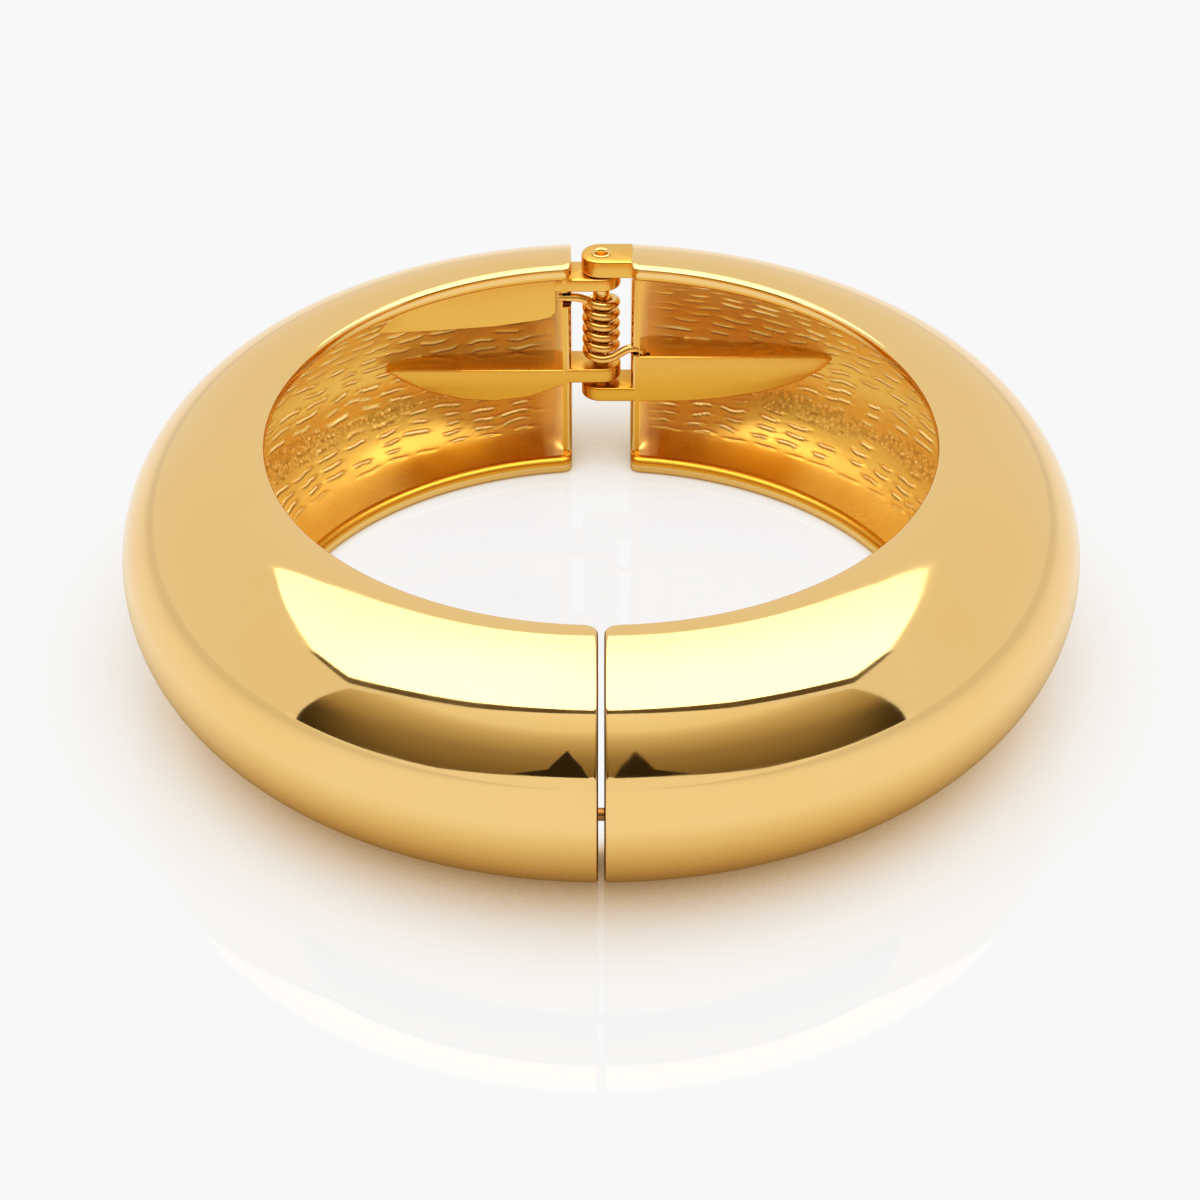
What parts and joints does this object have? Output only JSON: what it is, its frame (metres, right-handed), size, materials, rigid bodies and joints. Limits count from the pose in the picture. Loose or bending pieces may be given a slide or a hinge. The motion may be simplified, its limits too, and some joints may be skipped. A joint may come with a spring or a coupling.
{
  "type": "hinged bangle",
  "caption": "Chunky rounded gold bangle in hollow halves that open at a front slit on a sprung rear hinge, for wearing on the wrist.",
  "frame": {"origin": "centre of the ring on the plane that the bangle lies on", "axes": "+Z is the ring's axis, pointing up; +Y points to the hinge and -Y to the slit; +X is to the right of someone who looks at the slit"},
  "size_m": [0.0864, 0.0863, 0.023],
  "materials": {
    "polished_gold": "mirror-polished gold plate outside, bright as-cast ridges in the hollow",
    "pin_gold": "polished gold plate",
    "spring_gold": "drawn wire, gold plate"
  },
  "bodies": {
    "right": {"right_half": "polished_gold", "hinge_pin": "pin_gold", "hinge_spring": "spring_gold"},
    "left": {"left_half": "polished_gold"}
  },
  "joints": [
    {"name": "hinge", "type": "hinge", "parent": "right", "child": "left", "pos_m": [0, 0.033, 0.0115], "axis": [0, 0, -1], "range_deg": [0, 29], "stiffness_Nm_per_rad": 0.4, "springref_deg": -28.65, "deforming": ["hinge_spring"]}
  ]
}
